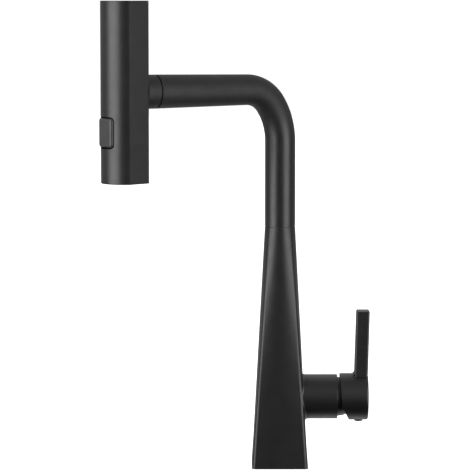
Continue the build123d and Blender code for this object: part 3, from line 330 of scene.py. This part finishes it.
LOOKS = {
    "black_coat": powder_coat("powder_coat_black", COAT_DARK, COAT_LIGHT, *COAT_ROUGH),
    "black_plastic": moulded("moulded_black", (0.012, 0.0122, 0.013), (0.017, 0.0172, 0.018), 0.42, 0.5),
    "grey_rubber": moulded("silicone_grey", (0.035, 0.036, 0.038), (0.05, 0.051, 0.053), 0.5, 0.62),
    "grey_plastic": moulded("aerator_grey", (0.22, 0.22, 0.23), (0.3, 0.3, 0.31), 0.35, 0.5),
    "black_rubber": moulded(
        "rubber_black", (0.012, 0.012, 0.012), (0.022, 0.022, 0.022), 0.65, 0.8, grain=0.00005
    ),
    "steel": machined("steel", (0.45, 0.46, 0.48), (0.58, 0.59, 0.61), *METAL_ROUGH, MARK_STRETCH),
    "brass": machined("brass", BRASS_DARK, BRASS_LIGHT, *METAL_ROUGH, MARK_STRETCH),
    "white_plastic": moulded("moulded_white", (0.7, 0.7, 0.68), (0.8, 0.8, 0.78), 0.35, 0.5),
    "ceramic": moulded("alumina", (0.78, 0.78, 0.76), (0.86, 0.86, 0.84), 0.08, 0.16, 0.000004),
    "hose_sleeve": moulded("hose_sleeve", (0.03, 0.03, 0.032), (0.06, 0.06, 0.062), 0.55, 0.7),
}
SPOUT_COAT = powder_coat("powder_coat_spout", COAT_DARK, COAT_LIGHT, *COAT_ROUGH, matt_above=SPOUT_DULLING)
BUTTON_PLASTIC = moulded("moulded_button", (0.025, 0.0253, 0.026), (0.032, 0.0323, 0.033), 0.38, 0.46)
BEZEL_PLASTIC = moulded("moulded_bezel", (0.004, 0.004, 0.004), (0.006, 0.006, 0.006), 0.7, 0.8)
GASKET_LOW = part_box("base_gasket")[0]
SHANK_BRASS = threaded("threaded_brass", BRASS_DARK, BRASS_LIGHT, THREAD_PITCH, THREAD_DEPTH, GASKET_LOW.z)
OWN_LOOKS = {
    "spout_tube": SPOUT_COAT,
    "head_neck": SPOUT_COAT,
    "mode_button": BUTTON_PLASTIC,
    "button_bezel": BEZEL_PLASTIC,
    "mounting_shank": SHANK_BRASS,
}


def dress(obj, material):
    obj.data.materials.clear()
    obj.data.materials.append(material)


for part in frame["record"]["subparts"]:
    node = part["node"]
    dress(nodes[node], OWN_LOOKS.get(node, LOOKS[part["material_slot"]]))

# ---------------------------------------------------------------- spray hose
# One hose, built as a straight tube in its rest place. On the faucet its inner end stays in the spout and
# its outer end goes with the head.
pull = Vector(joints["head_pull"]["axis"])
across = pull.cross(Vector((0.0, 0.0, 1.0)))
upward = across.cross(pull)
hose_low, hose_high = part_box("spray_hose")
hose_r = (hose_high.z - hose_low.z) / 2
hose_length = (hose_high.x - hose_low.x - 2 * hose_r * abs(pull.y)) / abs(pull.x)
hose_start = (hose_low + hose_high) / 2 - pull * hose_length / 2


def hose_tube(name, rings, sides):
    """A closed tube along the hose, unwrapped round and along it."""
    points = []
    for ring in range(rings + 1):
        middle = hose_start + pull * (hose_length * ring / rings)
        for side in range(sides):
            turn = 2 * math.pi * side / sides
            points.append(middle + (across * math.cos(turn) + upward * math.sin(turn)) * hose_r)
    faces = []
    for ring in range(rings):
        for side in range(sides):
            here, there = ring * sides, (ring + 1) * sides
            beside = (side + 1) % sides
            faces.append((here + side, here + beside, there + beside, there + side))
    faces.append(tuple(reversed(range(sides))))
    faces.append(tuple(range(rings * sides, (rings + 1) * sides)))
    mesh = bpy.data.meshes.new(name)
    mesh.from_pydata(points, [], faces)
    unwrap = mesh.uv_layers.new(name="unwrap")
    for face in mesh.polygons:
        side = face.index % sides
        for corner, (right, up) in zip(face.loop_indices, ((0, 0), (1, 0), (1, 1), (0, 1))):
            unwrap.data[corner].uv = ((side + right) / sides, (face.index // sides + up) / rings)
    mesh.shade_smooth()
    return link(bpy.data.objects.new(name, mesh))


hose = hose_tube("braided_hose", HOSE_RINGS, HOSE_SIDES)
dress(hose, braided("braided_nylon", (0.01, 0.01, 0.011), (0.06, 0.06, 0.062), HOSE_STRANDS, HOSE_PICKS))
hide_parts("spray_hose")
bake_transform(hose)

# ---------------------------------------------------------------- button spring
# The spring is its own mesh copy that rides with the spray head.
spring = link(bpy.data.objects.new("button_coil", nodes["button_spring"].data.copy()))
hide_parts("button_spring")
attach(spring, "spray_head")
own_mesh(spring)

# ---------------------------------------------------------------- floor
g = Graph("studio_floor")
g.feed("Base Color", g.ramp(g.noise(2.0, 2.0), 0.3, 0.7, (0.93, 0.93, 0.93), (0.95, 0.95, 0.95)))
g.set(Roughness=0.9, Emission_Color=WHITE, Emission_Strength=1.0)
floor_mesh = bpy.data.meshes.new("studio_floor")
half = FLOOR_SIZE / 2
floor_mesh.from_pydata(
    [(-half, -half, FLOOR_Z), (half, -half, FLOOR_Z), (half, half, FLOOR_Z), (-half, half, FLOOR_Z)],
    [],
    [(0, 1, 2, 3)],
)
floor_mesh.materials.append(g.material)
floor = link(bpy.data.objects.new("studio_floor", floor_mesh))
floor.visible_diffuse = False
floor.visible_glossy = False
